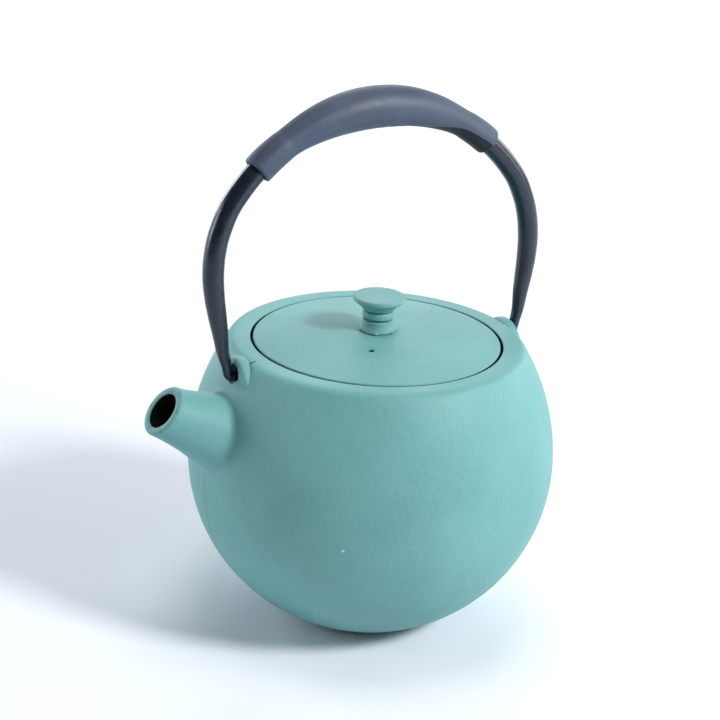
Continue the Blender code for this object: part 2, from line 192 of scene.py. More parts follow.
# ---------------------------------------------------------------- mesh helpers
def mesh_object(name, vertices, faces, material):
    """A linked mesh object with its faces turned outwards."""
    mesh = bpy.data.meshes.new(name)
    mesh.from_pydata([tuple(v) for v in vertices], [], [tuple(f) for f in faces])
    mesh.validate()
    made = bpy.data.objects.new(name, mesh)
    bpy.context.scene.collection.objects.link(made)
    outward(made)
    if material is not None:
        mesh.materials.append(material)
    mesh.shade_smooth()
    return made


def outward(obj):
    """Turns a closed mesh's faces outwards."""
    work = bmesh.new()
    work.from_mesh(obj.data)
    bmesh.ops.recalc_face_normals(work, faces=work.faces)
    if work.calc_volume(signed=True) < 0:
        bmesh.ops.reverse_faces(work, faces=work.faces)
    work.to_mesh(obj.data)
    work.free()


def soft_path(corners, segments=5):
    """A polyline with rounded corners, from (r, z, rounding) corners. The ends stay sharp."""
    path = [np.array(corners[0][:2])]
    for before, here, after in zip(corners, corners[1:], corners[2:]):
        corner = np.array(here[:2])
        size = here[2] if len(here) > 2 else 0.0
        if size <= 0:
            path.append(corner)
            continue
        back = np.array(before[:2]) - corner
        ahead = np.array(after[:2]) - corner
        reach_back = min(size, 0.49 * np.linalg.norm(back))
        reach_ahead = min(size, 0.49 * np.linalg.norm(ahead))
        start = corner + back / np.linalg.norm(back) * reach_back
        end = corner + ahead / np.linalg.norm(ahead) * reach_ahead
        for i in range(segments + 1):
            t = i / segments
            path.append((1 - t) ** 2 * start + 2 * t * (1 - t) * corner + t * t * end)
    path.append(np.array(corners[-1][:2]))
    return path


def filled(path, longest):
    """The same line with points no further apart than longest."""
    out = [path[0]]
    for a, b in zip(path, path[1:]):
        count = max(1, math.ceil(np.linalg.norm(b - a) / longest))
        for i in range(1, count + 1):
            out.append(a + (b - a) * i / count)
    return out


def lathe(path, angles, closed):
    """Vertices and faces of a profile turned about Z at these angles. A radius of 0 is a pole."""
    vertices = []
    rings = []
    for r, z in path:
        if r < 1e-7:
            rings.append([len(vertices)])
            vertices.append((0.0, 0.0, z))
        else:
            rings.append(list(range(len(vertices), len(vertices) + len(angles))))
            vertices += [(r * math.cos(a), r * math.sin(a), z) for a in angles]
    pairs = list(zip(rings, rings[1:]))
    if closed:
        pairs.append((rings[-1], rings[0]))
    faces = []
    for upper, lower in pairs:
        for i in range(len(angles)):
            j = (i + 1) % len(angles)
            if len(upper) == 1 and len(lower) == 1:
                continue
            if len(upper) == 1:
                faces.append((upper[0], lower[i], lower[j]))
            elif len(lower) == 1:
                faces.append((upper[i], lower[0], upper[j]))
            else:
                faces.append((upper[i], lower[i], lower[j], upper[j]))
    return np.array(vertices), faces


def round_over(size, steps=6):
    """Steps round a quarter circle: (distance along the axis, distance in from the full radius)."""
    angles = [math.pi / 2 * k / steps for k in range(steps + 1)]
    return [(size * (1 - math.cos(a)), size * (1 - math.sin(a))) for a in angles]


def even_angles(count):
    return [2 * math.pi * i / count for i in range(count)]


def along_axis(vertices, origin, direction):
    """Turns +Z of these vertices to a direction, and moves them to an origin."""
    turn = Vector((0, 0, 1)).rotation_difference(Vector(direction)).to_matrix()
    return np.array(vertices) @ np.array(turn).T + np.array(origin)


def boolean(target, tool, operation):
    """Applies a Boolean to the target's mesh and removes the tool."""
    modifier = target.modifiers.new("boolean", "BOOLEAN")
    modifier.operation = operation
    modifier.object = tool
    modifier.solver = "MANIFOLD"
    apply_modifiers(target)
    bpy.data.objects.remove(tool)


def apply_modifiers(obj):
    """Swaps the object's mesh for the one that its modifiers give."""
    graph = bpy.context.evaluated_depsgraph_get()
    mesh = bpy.data.meshes.new_from_object(obj.evaluated_get(graph))
    old = obj.data
    obj.modifiers.clear()
    obj.data = mesh
    mesh.name = obj.name
    bpy.data.meshes.remove(old)


def finish_piece(obj, body, slot, *nodes, sharp=None):
    """Sharpens edges over an angle in degrees, hangs the piece under its body's empty and hides its
    CAD nodes.
    """
    if sharp is not None:
        obj.data.set_sharp_from_angle(angle=math.radians(sharp))
    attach(obj, body)
    if nodes:
        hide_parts(*nodes)
    return obj


# ---------------------------------------------------------------- material helpers
class Nodes:
    """Short calls for building one material's nodes."""

    def __init__(self, name):
        self.material = bpy.data.materials.new(name)
        self.material.use_nodes = True
        self.tree = self.material.node_tree
        self.shader = self.tree.nodes["Principled BSDF"]
        self.coords = self.add("ShaderNodeTexCoord").outputs["Object"]

    def add(self, kind, **values):
        node = self.tree.nodes.new(kind)
        for key, value in values.items():
            setattr(node, key, value)
        return node

    def put(self, socket, value):
        if isinstance(value, bpy.types.NodeSocket):
            self.tree.links.new(value, socket)
        else:
            socket.default_value = value

    def noise(self, scale, detail=3.0, roughness=0.5, coords=None, distortion=0.0):
        node = self.add("ShaderNodeTexNoise")
        self.put(node.inputs["Vector"], coords or self.coords)
        node.inputs["Scale"].default_value = scale
        node.inputs["Detail"].default_value = detail
        node.inputs["Roughness"].default_value = roughness
        node.inputs["Distortion"].default_value = distortion
        return node.outputs["Fac"]

    def cells(self, scale, coords=None):
        node = self.add("ShaderNodeTexVoronoi")
        self.put(node.inputs["Vector"], coords or self.coords)
        node.inputs["Scale"].default_value = scale
        return node.outputs["Distance"]

    def math(self, operation, *values, clamp=False):
        node = self.add("ShaderNodeMath", operation=operation, use_clamp=clamp)
        for socket, value in zip(node.inputs, values):
            self.put(socket, value)
        return node.outputs[0]

    def vector(self, operation, *values):
        node = self.add("ShaderNodeVectorMath", operation=operation)
        for socket, value in zip(node.inputs, values):
            self.put(socket, value)
        is_number = operation in ("LENGTH", "DISTANCE", "DOT_PRODUCT")
        return node.outputs["Value" if is_number else "Vector"]

    def ramp(self, value, start, end, low=0.0, high=1.0, smooth=True):
        node = self.add("ShaderNodeMapRange")
        node.interpolation_type = "SMOOTHSTEP" if smooth else "LINEAR"
        self.put(node.inputs["Value"], value)
        settings = {"From Min": start, "From Max": end, "To Min": low, "To Max": high}
        for socket, setting in settings.items():
            node.inputs[socket].default_value = setting
        return node.outputs["Result"]

    def mix(self, factor, a, b):
        node = self.add("ShaderNodeMix", data_type="RGBA")
        self.put(node.inputs["Factor"], factor)
        self.put(node.inputs[6], a if isinstance(a, bpy.types.NodeSocket) else (*a, 1.0))
        self.put(node.inputs[7], b if isinstance(b, bpy.types.NodeSocket) else (*b, 1.0))
        return node.outputs[2]

    def parts(self, vector=None):
        node = self.add("ShaderNodeSeparateXYZ")
        self.put(node.inputs[0], vector or self.coords)
        return node.outputs

    def bump(self, height, distance, strength=1.0, normal=None):
        node = self.add("ShaderNodeBump")
        node.inputs["Strength"].default_value = strength
        node.inputs["Distance"].default_value = distance
        self.put(node.inputs["Height"], height)
        if normal is not None:
            self.put(node.inputs["Normal"], normal)
        return node.outputs["Normal"]

    def finish(self, colour, roughness, normal=None, metallic=0.0, specular=None):
        self.put(self.shader.inputs["Base Color"], colour)
        self.put(self.shader.inputs["Roughness"], roughness)
        if normal is not None:
            self.put(self.shader.inputs["Normal"], normal)
        self.shader.inputs["Metallic"].default_value = metallic
        if specular is not None:
            self.shader.inputs["Specular IOR Level"].default_value = specular
        return self.material


def srgb(*values):
    """Linear colour from 0..255 screen values."""
    out = []
    for v in values:
        c = v / 255
        out.append(c / 12.92 if c <= 0.04045 else ((c + 0.055) / 1.055) ** 2.4)
    return tuple(out)


def iron_material(name, body=False):
    """Matt grey-green coating on a fine-grained casting, with marks of use and painted shade on the
    body's.
    """
    n = Nodes(name)
    mottle = n.noise(28.0, 4.0, 0.55)
    fine = n.noise(1500.0, 2.0, 0.6)
    grain = n.noise(650.0, 4.0, 0.62)
    pits = n.cells(420.0)
    base = n.mix(n.ramp(mottle, 0.36, 0.66), srgb(*GREEN_LOW), srgb(*GREEN_HIGH))
    speck = n.ramp(grain, 0.40, 0.60)
    base = n.mix(n.math("MULTIPLY", speck, 0.20), base, srgb(*GREEN_SPECK))
    dark = n.math("MULTIPLY", n.ramp(fine, 0.30, 0.42, 1.0, 0.0), 0.18)
    base = n.mix(dark, base, srgb(*GREEN_DARK))
    height = grain
    if body:
        base, seam = body_marks(n, base)
        height = n.math("SUBTRACT", grain, seam)
    roughness = n.ramp(grain, 0.3, 0.7, 0.50, 0.64, smooth=False)
    normal = n.bump(height, 0.00010, 0.8)
    normal = n.bump(n.ramp(pits, 0.0, 0.5), 0.00006, 0.6, normal)
    normal = n.bump(fine, 0.00003, 0.7, normal)
    return n.finish(base, roughness, normal, specular=0.36)


def near_line(n, point, along, across, half_length, half_width):
    """1 on a short straight mark, 0 off it."""
    offset = n.vector("SUBTRACT", n.coords, point)
    far = n.math("ABSOLUTE", n.vector("DOT_PRODUCT", offset, along))
    off = n.math("ABSOLUTE", n.vector("DOT_PRODUCT", offset, across))
    ends = n.ramp(far, half_length * 0.8, half_length * 1.2, 1.0, 0.0)
    return n.math("MULTIPLY", ends, n.ramp(off, half_width * 0.5, half_width * 1.5, 1.0, 0.0))


def body_marks(n, base):
    """Worn lip of the spout, parting line under it, a nick in the ring in painted shade and a chip
    on the belly.
    """
    mouth = n.vector("DISTANCE", n.coords, tuple(SPOUT_MOUTH))
    lip = n.math("MULTIPLY", n.ramp(mouth, 0.0072, 0.0078), n.ramp(mouth, 0.0082, 0.0104, 1.0, 0.0))
    upper = n.ramp(n.parts()[2], SPOUT_MOUTH[2] - 0.002, SPOUT_MOUTH[2] + 0.006)
    patches = n.ramp(n.noise(260.0, 3.0), 0.35, 0.55)
    rubbed = n.math("MULTIPLY", lip, n.math("MULTIPLY", upper, patches))
    base = n.mix(n.math("MULTIPLY", rubbed, 0.75), base, srgb(*LIP_RUBBED))
    chips = n.math("MULTIPLY", lip, n.ramp(n.noise(520.0, 4.0, 0.7), 0.56, 0.62))
    base = n.mix(n.math("MULTIPLY", chips, 0.8), base, srgb(*LIP_CHIPPED))
    seam = near_line(n, SEAM_POINT, (0.0, 0.0, 1.0), (0.0, 1.0, 0.0), 0.026, 0.00032)
    seam = n.math("MULTIPLY", seam, n.ramp(n.parts()[0], -0.030, -0.040))
    base = n.mix(n.math("MULTIPLY", seam, 0.6), base, srgb(*GREEN_SEAM))
    # The nick is bumped in as a groove; its dark colour is painted shade in the groove.
    nick = near_line(n, NICK_POINT, NICK_ALONG, NICK_ACROSS, 0.0014, 0.00038)
    nick = n.math("MULTIPLY", nick, n.ramp(n.parts()[2], RING_Z - 0.004, RING_Z - 0.002))
    base = n.mix(nick, base, srgb(*NICK_PAINTED_SHADE))
    chip = n.ramp(n.vector("DISTANCE", n.coords, CHIP_POINT), 0.0004, 0.0007, 1.0, 0.0)
    base = n.mix(n.math("MULTIPLY", chip, 0.8), base, srgb(*CHIP_PALE))
    return base, n.math("ADD", n.math("MULTIPLY", seam, 1.2), n.math("MULTIPLY", nick, 3.0))


def dark_iron_material():
    """Matt black glaze of the pot's inside, the lid's recess and the lid's underside."""
    n = Nodes("pot_inside_glaze")
    base = n.mix(n.ramp(n.noise(160.0), 0.4, 0.6), srgb(*GLAZE_LOW), srgb(*GLAZE_HIGH))
    roughness = n.ramp(n.noise(420.0), 0.3, 0.7, 0.62, 0.78, smooth=False)
    return n.finish(base, roughness, n.bump(n.noise(500.0), 0.00012, 0.6), specular=0.2)


def rod_material():
    """Glossy blue-black paint over a forged rod, with fine orange peel."""
    n = Nodes("bail_black_paint")
    base = n.mix(n.ramp(n.noise(90.0, 3.0), 0.35, 0.65), srgb(*ROD_LOW), srgb(*ROD_HIGH))
    worn = n.math("MULTIPLY", n.ramp(n.noise(900.0, 4.0, 0.7), 0.60, 0.70), 0.30)
    base = n.mix(worn, base, srgb(*ROD_WORN))
    roughness = n.ramp(n.noise(300.0, 3.0), 0.3, 0.7, 0.22, 0.34, smooth=False)
    normal = n.bump(n.noise(260.0, 2.0), 0.00014, 0.5)
    normal = n.bump(n.noise(1400.0, 2.0), 0.00003, 0.5, normal)
    made = n.finish(base, roughness, normal, specular=0.6)
    n.shader.inputs["Specular Tint"].default_value = (0.74, 0.84, 1.0, 1.0)
    n.shader.inputs["Coat Weight"].default_value = 0.15
    n.shader.inputs["Coat Roughness"].default_value = 0.22
    return made


def rubber_material(name, low, high, dusty, gloss):
    """Matt rubber with a powdery surface, from two base colours and the colour of its dust."""
    n = Nodes(name)
    base = n.mix(n.ramp(n.noise(60.0, 4.0), 0.35, 0.65), srgb(*low), srgb(*high))
    dust = n.math("MULTIPLY", n.ramp(n.noise(700.0, 4.0, 0.7), 0.58, 0.75), 0.25)
    base = n.mix(dust, base, srgb(*dusty))
    roughness = n.ramp(n.noise(240.0, 3.0), 0.3, 0.7, 0.50, 0.62, smooth=False)
    normal = n.bump(n.noise(1100.0, 3.0), 0.00005, 0.6)
    made = n.finish(base, roughness, normal, specular=gloss)
    n.shader.inputs["Sheen Weight"].default_value = 0.08
    n.shader.inputs["Sheen Roughness"].default_value = 0.5
    return made


def bare_iron_material():
    """Dull grey iron, where the hooks have rubbed the coating out of the eyes."""
    n = Nodes("lug_bare_iron")
    rubbed = n.ramp(n.noise(600.0, 4.0, 0.65), 0.38, 0.62)
    base = n.mix(rubbed, srgb(*BARE_LOW), srgb(*BARE_HIGH))
    roughness = n.ramp(n.noise(900.0), 0.3, 0.7, 0.45, 0.62, smooth=False)
    return n.finish(base, roughness, n.bump(n.noise(900.0, 3.0), 0.00008, 0.6), metallic=0.25)


def steel_material(name, base, streak_scale, roughness_low, roughness_high):
    """Bare steel with fine streaks round it and faint stains."""
    n = Nodes(name)
    mapping = n.add("ShaderNodeMapping")
    n.put(mapping.inputs["Vector"], n.coords)
    mapping.inputs["Scale"].default_value = (1.0, 1.0, streak_scale)
    streaks = n.noise(180.0, 4.0, 0.6, mapping.outputs[0])
    stain = n.ramp(n.noise(35.0), 0.4, 0.7)
    tint = tuple(c * 0.86 for c in base)
    colour = n.mix(stain, base, tint)
    roughness = n.ramp(streaks, 0.3, 0.7, roughness_low, roughness_high, smooth=False)
    return n.finish(colour, roughness, n.bump(streaks, 0.00003, 0.5), metallic=1.0)


IRON = iron_material("green_iron_pot", body=True)
IRON_LID = iron_material("green_iron_lid")
GLAZE = dark_iron_material()
ROD = rod_material()
RUBBER = rubber_material("grip_slate_rubber", *SLATE, gloss=0.65)
# Painted shade: a darker, duller copy of the grip's rubber for the sleeve's underside panel
RUBBER_PAINTED_SHADE = rubber_material("grip_rubber_painted_shade", *SLATE_PAINTED_SHADE, gloss=0.25)
STAINLESS = steel_material("infuser_stainless", (0.62, 0.62, 0.60), 14.0, 0.22, 0.38)
PIN_STEEL = steel_material("pin_turned_steel", (0.42, 0.41, 0.40), 6.0, 0.32, 0.5)
BARE = bare_iron_material()


# ---------------------------------------------------------------- pot
def outer_radius(height):
    """Radius of the pot's outside at a height over the floor."""
    level = (height - EQUATOR_Z) / POT_RADIUS
    if level < 0.0:
        return POT_RADIUS * math.sqrt(max(0.0, 1.0 - (level / LOWER_DEPTH) ** 2))
    return POT_RADIUS * (1.0 - (level / UPPER_REACH) ** FULLNESS) ** (1.0 / FULLNESS)


def outside_path():
    """From the ring's inner edge out over the shoulder and down to the base centre."""
    corners = [(LID_RECESS_RADIUS, RING_Z - 0.002), (LID_RECESS_RADIUS, RING_Z, RING_EDGE_INNER)]
    corners.append((outer_radius(RING_Z), RING_Z, RING_EDGE_OUTER))
    path = soft_path(corners + [(outer_radius(RING_Z - 0.0032), RING_Z - 0.0032)], 8)
    top = path[-1][1]
    rows = np.concatenate(
        [
            np.linspace(top, EQUATOR_Z + 0.018, 62)[1:],
            np.linspace(EQUATOR_Z + 0.018, 0.030, 40)[1:],
        ]
    )
    path += [np.array((outer_radius(z), z)) for z in rows]
    low = math.asin((EQUATOR_Z - 0.030) / (LOWER_DEPTH * POT_RADIUS))
    base = math.asin((EQUATOR_Z - 0.0009) / (LOWER_DEPTH * POT_RADIUS))
    for i in range(1, 17):
        z = EQUATOR_Z - LOWER_DEPTH * POT_RADIUS * math.sin(low + (base - low) * i / 16)
        path.append(np.array((outer_radius(z), z)))
    foot = path[-1]
    edge = soft_path([tuple(foot), (foot[0] - 0.0022, 0.0, FOOT_EDGE), (0.0, 0.0)], 4)
    return path + filled(edge[1:], 0.004)


def inside_path():
    """From the floor's centre up the wall, round the shoulder and neck to the lid recess."""
    shrink = 1.0 - WALL / POT_RADIUS
    floor = EQUATOR_Z * (1 - shrink)
    points = [(0.0, floor)]
    base_angle = math.asin(EQUATOR_Z / (LOWER_DEPTH * POT_RADIUS))
    points += [(0.008, floor), (0.016, floor)]
    for i in range(25):
        z = EQUATOR_Z - LOWER_DEPTH * POT_RADIUS * math.sin(base_angle * (1 - i / 24))
        points.append((outer_radius(z) * shrink, EQUATOR_Z + (z - EQUATOR_Z) * shrink))
    wall_top = EQUATOR_Z + (SHOULDER_INSIDE_Z - EQUATOR_Z) / shrink
    for i in range(1, 9):
        z = EQUATOR_Z + (wall_top - EQUATOR_Z) * i / 8
        points.append((outer_radius(z) * shrink, EQUATOR_Z + (z - EQUATOR_Z) * shrink))
    reach = outer_radius(wall_top) * shrink - NECK_RADIUS
    rise = NECK_BOTTOM_Z - SHOULDER_INSIDE_Z
    for i in range(1, 17):
        angle = math.pi / 2 * i / 16
        r = NECK_RADIUS + reach * math.cos(angle)
        points.append((r, SHOULDER_INSIDE_Z + rise * math.sin(angle)))
    points[-1] = (*points[-1], 0.0010)
    points += [
        (NECK_RADIUS, RIM_LEDGE_Z, 0.0004),
        (RIM_RECESS_RADIUS, RIM_LEDGE_Z, 0.0002),
        (RIM_RECESS_RADIUS, LID_LEDGE_Z, 0.0004),
        (LID_RECESS_RADIUS, LID_LEDGE_Z, 0.0003),
        (LID_RECESS_RADIUS, RING_Z - 0.002),
    ]
    return soft_path(points, 3)


def lug_outline():
    """Half section of a round lug with soft edges, as (radius, x)."""
    corners = [
        (0.0, LUG_INNER_X),
        (LUG_RADIUS, LUG_INNER_X, LUG_INNER_EDGE),
        (LUG_RADIUS, LUG_OUTER_X, LUG_OUTER_EDGE),
        (0.0, LUG_OUTER_X),
    ]
    return soft_path(corners, 7)


def add_lug(pot, side):
    """Joins a lug to the casting, once the part that would reach into the hollow is cut off."""
    lug = turned_tool("lug_tool", lug_outline(), (0, 0, LUG_CENTRE_Z), (side, 0, 0), 160)
    hollow = [(r * HOLLOW_MARGIN, z) for r, z in inside_path()]
    vertices, faces = lathe(hollow + [(0.0, hollow[-1][1])], even_angles(128), closed=False)
    boolean(lug, mesh_object("hollow_tool", vertices, faces, None), "DIFFERENCE")
    boolean(pot, lug, "UNION")


def spout_frame():
    """Directions at the spout: along it into the pot, to the side, and up square to it."""
    inward = np.array((math.cos(SPOUT_RISE), 0.0, -math.sin(SPOUT_RISE)))
    side = np.array((0.0, 1.0, 0.0))
    up = np.array((math.sin(SPOUT_RISE), 0.0, math.cos(SPOUT_RISE)))
    return inward, side, up


def tilt_mouth(points):
    """Leans the mouth's plane back: a shift along the spout that fades out behind the lip."""
    inward, _, up = spout_frame()
    offset = np.asarray(points) - SPOUT_MOUTH
    fade = np.clip(1 - (offset @ inward) / MOUTH_TILT_REACH, 0, 1)
    shift = (offset @ up) * math.tan(MOUTH_TILT) * fade
    return SPOUT_MOUTH + offset + shift[..., None] * inward


def spout_radius(s):
    """Outside radius of the spout at a distance behind its mouth."""
    lip = 0.0010
    along = max(0.0, (s - lip) / (SPOUT_LENGTH - lip))
    return SPOUT_MOUTH_RADIUS + SPOUT_FLARE * along**1.5


def on_body(point, sink=0.0):
    """The point moved level with the Z axis on to the pot's outside, or a little under it."""
    r = math.hypot(point[0], point[1])
    goal = outer_radius(point[2]) - sink
    return np.array((point[0] * goal / r, point[1] * goal / r, point[2]))


def spout_mesh():
    """A closed spout whose root flows into the pot's wall."""
    inward, side, up = spout_frame()
    count = SPOUT_SEGMENTS
    lip_radius = SPOUT_MOUTH_RADIUS - LIP_ROUND
    columns = []
    for i in range(count):
        phi = 2 * math.pi * i / count
        radial = side * math.cos(phi) + up * math.sin(phi)

        def at(s):
            return SPOUT_MOUTH + inward * s + radial * spout_radius(s)

        low, high = 0.004, 0.045
        for _ in range(40):
            mid = (low + high) / 2
            p = at(mid)
            if math.hypot(p[0], p[1]) > outer_radius(p[2]):
                low = mid
            else:
                high = mid
        meet = (low + high) / 2
        column = [SPOUT_MOUTH + radial * 0.004]
        lip = [(0.0, lip_radius - 0.0005), (0.0, lip_radius)]
        lip += [(s, SPOUT_MOUTH_RADIUS - inset) for s, inset in round_over(LIP_ROUND)]
        column += [SPOUT_MOUTH + inward * s + radial * r for s, r in lip]
        start = max(0.0045, meet - ROOT_SPREAD)
        for k in range(1, 13):
            column.append(at(LIP_ROUND + (start - LIP_ROUND) * k / 12))
        column = list(tilt_mouth(np.array(column)))
        corner = at(meet)
        normal = body_normal(corner)
        away = radial - normal * (radial @ normal)
        away /= np.linalg.norm(away)
        end = on_body(corner + away * ROOT_RUN_OUT)
        first = at(start)
        for k in range(1, 13):
            t = k / 12
            p = (1 - t) ** 2 * first + 2 * t * (1 - t) * corner + t * t * end
            column.append(p)
        beyond = corner + away * (ROOT_RUN_OUT + 0.0006)
        column.append(on_body(beyond, 0.00012))
        column.append(on_body(beyond, ROOT_OVERLAP))
        columns.append(column)
    columns = np.array(columns)
    rows = columns.shape[1]
    vertices = columns.transpose(1, 0, 2).reshape(-1, 3)
    faces = []
    for k in range(rows - 1):
        for i in range(count):
            j = (i + 1) % count
            faces.append((k * count + i, k * count + j, (k + 1) * count + j, (k + 1) * count + i))
    vertices = list(vertices)
    # the mouth's disc, and then the root's end, which lies just inside the pot's wall
    hub = len(vertices)
    vertices.append(SPOUT_MOUTH)
    faces += [((i + 1) % count, i, hub) for i in range(count)]
    last = [(rows - 1) * count + i for i in range(count)]
    ring = np.array([vertices[i] for i in last])
    centre = ring.mean(0)
    before = last
    for share in (0.8, 0.6, 0.4, 0.2):
        new = []
        for p in ring:
            q = centre + (p - centre) * share
            new.append(len(vertices))
            vertices.append(on_body(q, ROOT_OVERLAP))
        for i in range(count):
            j = (i + 1) % count
            faces.append((before[i], before[j], new[j], new[i]))
        before = new
    hub = len(vertices)
    vertices.append(on_body(centre, ROOT_OVERLAP))
    faces += [(before[i], before[(i + 1) % count], hub) for i in range(count)]
    return vertices, faces


def body_normal(point):
    """Outward direction of the pot's outside at a point on it."""
    r = math.hypot(point[0], point[1])
    step = 1e-5
    slope = (outer_radius(point[2] + step) - outer_radius(point[2] - step)) / (2 * step)
    normal = np.array((point[0] / r, point[1] / r, -slope))
    return normal / np.linalg.norm(normal)


def turned_tool(name, path, origin, direction, count=96):
    """A closed solid of revolution about a direction, for cutting."""
    vertices, faces = lathe([np.array(p) for p in path], even_angles(count), closed=False)
    return mesh_object(name, along_axis(vertices, origin, direction), faces, None)


def cut_bore(pot):
    """Cuts the spout's bore, with a rounded lip that leans with the mouth."""
    inward, _, _ = spout_frame()
    mouth = BORE_MOUTH_RADIUS + BORE_FLARE
    end = SPOUT_LENGTH + BORE_PAST_SPOUT
    bore = [(0.0, 0.002), (mouth, 0.002), (mouth, 0.0)]
    bore += [(BORE_MOUTH_RADIUS + inset, -s) for s, inset in round_over(BORE_FLARE)[1:]]
    bore += [(BORE_ROOT_RADIUS, -end), (0.0, -end)]
    path = filled([np.array(q) for q in bore], 0.002)
    vertices, faces = lathe(path, even_angles(96), closed=False)
    vertices = tilt_mouth(along_axis(vertices, SPOUT_MOUTH, -inward))
    boolean(pot, mesh_object("bore_tool", vertices, faces, None), "DIFFERENCE")


def cut_lug(pot, side):
    """Cuts the pocket that the hook's tip turns in, and the eye that leads to it."""
    pocket = [
        (0.0, POCKET_OUTER_X),
        (POCKET_RADIUS - POCKET_EDGE, POCKET_OUTER_X),
        (POCKET_RADIUS, POCKET_OUTER_X - POCKET_EDGE),
        (POCKET_RADIUS, POCKET_INNER_X + POCKET_EDGE),
        (POCKET_RADIUS - POCKET_EDGE, POCKET_INNER_X),
        (0.0, POCKET_INNER_X),
    ]
    tool = turned_tool("pocket_tool", pocket, (0, 0, PIVOT_Z), (side, 0, 0))
    boolean(pot, tool, "DIFFERENCE")
    outside_x = 0.068
    inside_x = POCKET_OUTER_X - 0.001
    eye = [(0.0, outside_x), (EYE_RADIUS + EYE_RIM, outside_x)]
    eye += [(EYE_RADIUS + inset, LUG_OUTER_X - depth) for depth, inset in round_over(EYE_RIM)]
    eye += [(EYE_RADIUS, inside_x), (0.0, inside_x)]
    boolean(pot, turned_tool("eye_tool", eye, (0, 0, EYE_Z), (side, 0, 0)), "DIFFERENCE")


def build_pot():
    """The casting: body, lugs and spout joined, then the bore, the pockets and the eyes cut out."""
    path = inside_path()[:-1] + outside_path()[1:]
    vertices, faces = lathe(path, even_angles(POT_SEGMENTS), closed=False)
    pot = mesh_object("pot_body_casting", vertices, faces, IRON)
    for side in (-1, 1):
        add_lug(pot, side)
    spout_vertices, spout_faces = spout_mesh()
    boolean(pot, mesh_object("spout_tool", spout_vertices, spout_faces, None), "UNION")
    cut_bore(pot)
    for side in (-1, 1):
        cut_lug(pot, side)
    paint_inside(pot)
    return finish_piece(pot, "pot", "green_cast_iron", "pot_body", sharp=40)


def paint_inside(pot):
    """Black glaze inside, in the lid's recess and the spout's bore, and bare iron in the eyes."""
    pot.data.materials.clear()
    for material in (IRON, GLAZE, BARE):
        pot.data.materials.append(material)
    inward, _, up = spout_frame()
    for face in pot.data.polygons:
        c = np.array(face.center)
        n = np.array(face.normal)
        r = math.hypot(c[0], c[1])
        along = (c - SPOUT_MOUTH) @ inward
        across = c - SPOUT_MOUTH - inward * along
        lean = across @ up * math.tan(MOUTH_TILT) * max(0.0, 1 - along / MOUTH_TILT_REACH)
        in_bore = 0.0006 < along - lean < SPOUT_LENGTH + 0.006
        in_bore = in_bore and np.linalg.norm(across) < BORE_ROOT_RADIUS + 0.0004 and n @ across < 0
        in_pot = 0.0015 < c[2] < RIM_LEDGE_Z - 0.0005
        in_pot = in_pot and r < outer_radius(max(c[2], 0.001)) - 0.0025
        in_recess = r < LID_RECESS_RADIUS + 0.0002 and RIM_LEDGE_Z - 0.0006 < c[2] < RING_Z - 0.0009
        from_eye = math.hypot(c[1], c[2] - EYE_Z)
        from_pivot = math.hypot(c[1], c[2] - PIVOT_Z)
        in_eye = POCKET_OUTER_X - 0.001 < abs(c[0]) < LUG_OUTER_X - 0.0002
        in_eye = in_eye and from_eye < EYE_RADIUS + 0.0007
        in_pocket = POCKET_INNER_X - 0.0002 < abs(c[0]) < POCKET_OUTER_X + 0.0002
        in_eye = in_eye or (in_pocket and from_pivot < POCKET_RADIUS + 0.0003)
        if in_eye:
            face.material_index = 2
        else:
            face.material_index = 1 if (in_bore or in_pot or in_recess) else 0


# ---------------------------------------------------------------- lid and knob
def lid_top(radius):
    """Height of the lid's domed top."""
    return LID_EDGE_Z + LID_DOME * (1.0 - (radius / LID_RADIUS) ** 2)


def build_lid():
    """The lid's disc with its skirt, pin hole and vent."""
    bore = PIN_RADIUS + GAP
    seat = LID_LEDGE_Z + GAP
    top = [(bore, lid_top(0.004))]
    top += [(r, lid_top(r)) for r in np.linspace(0.004, LID_RADIUS - 0.003, 40)]
    corners = top + [
        (LID_RADIUS, LID_EDGE_Z + 0.0002, 0.0006),
        (LID_RADIUS, seat, 0.0005),
        (SKIRT_OUTER_RADIUS, seat, 0.0006),
        (SKIRT_OUTER_RADIUS, SKIRT_BOTTOM_Z, 0.0006),
        (SKIRT_INNER_RADIUS, SKIRT_BOTTOM_Z, 0.0006),
        (SKIRT_INNER_RADIUS, lid_top(SKIRT_INNER_RADIUS) - LID_THICKNESS, 0.0015),
    ]
    under = np.linspace(SKIRT_INNER_RADIUS - 0.002, 0.008, 12)
    corners += [(r, lid_top(r) - LID_THICKNESS) for r in under]
    corners += [(bore, LID_EDGE_Z + LID_DOME - LID_THICKNESS)]
    path = soft_path(corners, 5)
    vertices, faces = lathe(path, even_angles(240), closed=True)
    lid = mesh_object("lid_casting", vertices, faces, IRON_LID)
    depth = 0.008
    top_z = lid_top(math.hypot(*VENT_POS))
    vent = [
        (0.0, top_z + 0.001),
        (VENT_RADIUS + VENT_FLARE, top_z + 0.001),
        (VENT_RADIUS + VENT_FLARE, top_z),
        (VENT_RADIUS, top_z - VENT_FLARE),
        (VENT_RADIUS, top_z - depth),
        (0.0, top_z - depth),
    ]
    boolean(lid, turned_tool("vent_tool", vent, (*VENT_POS, 0), (0, 0, 1), 32), "DIFFERENCE")
    paint_under(lid)
    return finish_piece(lid, "lid_group", "green_cast_iron", "lid", sharp=40)


def paint_under(lid):
    """Black glaze on the lid's edge and underside and in its vent."""
    lid.data.materials.clear()
    for material in (IRON_LID, GLAZE):
        lid.data.materials.append(material)
    for face in lid.data.polygons:
        c = face.center
        r = math.hypot(c.x, c.y)
        in_vent = math.hypot(c.x - VENT_POS[0], c.y - VENT_POS[1]) < VENT_RADIUS + 0.0001
        under = c.z < lid_top(r) - 0.0009 or (r > LID_RADIUS - 0.0003 and c.z < LID_EDGE_Z - 0.0006)
        face.material_index = 1 if in_vent or under else 0


